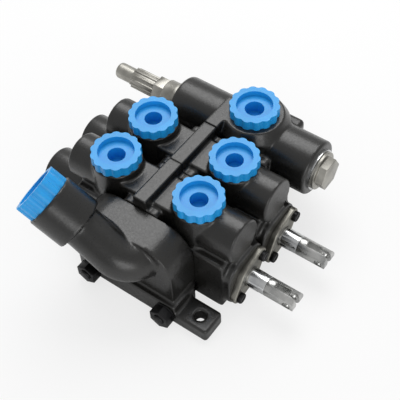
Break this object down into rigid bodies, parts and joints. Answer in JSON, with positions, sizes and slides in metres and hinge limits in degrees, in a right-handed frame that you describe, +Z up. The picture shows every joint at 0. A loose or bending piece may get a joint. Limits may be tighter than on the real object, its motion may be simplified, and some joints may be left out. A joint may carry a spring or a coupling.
{
  "type": "hydraulic control valve",
  "caption": "Sectional hydraulic spool valve in black cast iron, with forked spool ends, a relief valve, a tank elbow and blue transport plugs in its ports.",
  "frame": {"origin": "on the base plane, midway between the work ports", "axes": "+X along the spools towards their forked ends, +Y across the sections towards the inlet section, +Z up out of the ports"},
  "size_m": [0.2592, 0.238, 0.1233],
  "materials": {
    "casting": "semi-gloss black paint on a cast surface",
    "ground_steel": "ground and polished",
    "turned_steel": "turned, bright",
    "painted_cap": "semi-gloss black paint",
    "zinc_steel": "zinc plated, satin",
    "black_fasteners": "black oxide, oiled",
    "spring_steel": "drawn wire",
    "blue_plastic": "moulded, satin gloss",
    "seal_rubber": "matt",
    "seal_metal": "satin"
  },
  "bodies": {
    "housing": {"inlet_section": "casting", "outlet_section": "casting", "work_section_1": "casting", "work_section_2": "casting", "relief_seat": "ground_steel", "spring_cap_1": "painted_cap", "spring_cap_2": "painted_cap", "seal_retainer_1": "zinc_steel", "seal_retainer_2": "zinc_steel", "outer_spring_seat_1": "zinc_steel", "outer_spring_seat_2": "zinc_steel", "relief_cartridge": "zinc_steel", "relief_lock_nut": "zinc_steel", "relief_sleeve": "zinc_steel", "inlet_plug": "zinc_steel", "retainer_screws": "black_fasteners", "spring_cap_screws": "black_fasteners", "tie_rods": "black_fasteners", "tie_rod_nuts": "black_fasteners", "tie_rod_washers": "black_fasteners", "top_screw": "black_fasteners", "centring_spring_1": "spring_steel", "centring_spring_2": "spring_steel", "load_check_spring_1": "spring_steel", "load_check_spring_2": "spring_steel", "relief_spring": "spring_steel", "port_plug_a1": "blue_plastic", "port_plug_a2": "blue_plastic", "port_plug_b1": "blue_plastic", "port_plug_b2": "blue_plastic", "port_plug_p": "blue_plastic", "port_plug_t": "blue_plastic", "joint_seals": "seal_rubber", "spool_seal_1": "seal_rubber", "spool_seal_2": "seal_rubber", "relief_seal_ring": "seal_metal", "inlet_plug_washer": "seal_metal"},
    "spool_assembly_1": {"spool_1": "ground_steel", "clevis_end_1": "turned_steel", "stop_bolt_1": "turned_steel", "inner_spring_seat_1": "zinc_steel"},
    "spool_assembly_2": {"spool_2": "ground_steel", "clevis_end_2": "turned_steel", "stop_bolt_2": "turned_steel", "inner_spring_seat_2": "zinc_steel"},
    "load_check_1": {"load_check_poppet_1": "ground_steel"},
    "load_check_2": {"load_check_poppet_2": "ground_steel"},
    "relief_poppet": {"relief_poppet": "ground_steel"},
    "spring_disc": {"relief_spring_disc": "zinc_steel"},
    "adjusting_screw": {"relief_adjusting_screw": "zinc_steel"}
  },
  "joints": [
    {"name": "spool_slide_1", "type": "slide", "parent": "housing", "child": "spool_assembly_1", "axis": [1, 0, 0], "range_m": [-0.006, 0.006], "stiffness_N_per_m": 12000, "deforming": ["centring_spring_1"]},
    {"name": "spool_slide_2", "type": "slide", "parent": "housing", "child": "spool_assembly_2", "axis": [1, 0, 0], "range_m": [-0.006, 0.006], "stiffness_N_per_m": 12000, "deforming": ["centring_spring_2"]},
    {"name": "load_check_slide_1", "type": "slide", "parent": "housing", "child": "load_check_1", "axis": [0, -1, 0], "range_m": [0, 0.003], "stiffness_N_per_m": 400, "springref_m": -0.004, "deforming": ["load_check_spring_1"]},
    {"name": "load_check_slide_2", "type": "slide", "parent": "housing", "child": "load_check_2", "axis": [0, -1, 0], "range_m": [0, 0.003], "stiffness_N_per_m": 400, "springref_m": -0.004, "deforming": ["load_check_spring_2"]},
    {"name": "relief_slide", "type": "slide", "parent": "housing", "child": "relief_poppet", "axis": [-1, 0, 0], "range_m": [0, 0.003], "stiffness_N_per_m": 20000, "springref_m": -0.003, "deforming": ["relief_spring"]},
    {"name": "spring_disc_slide", "type": "slide", "parent": "housing", "child": "spring_disc", "axis": [1, 0, 0], "range_m": [-0.003, 0.003], "deforming": ["relief_spring"]},
    {"name": "adjuster_turn", "type": "hinge", "parent": "spring_disc", "child": "adjusting_screw", "pos_m": [-0.1, 0.0796, 0.0555], "axis": [1, 0, 0], "range_deg": [-720, 720]}
  ],
  "couplings": [
    {"joint": "adjuster_turn", "follows": "spring_disc_slide", "rad_per_m": 4188.8}
  ]
}
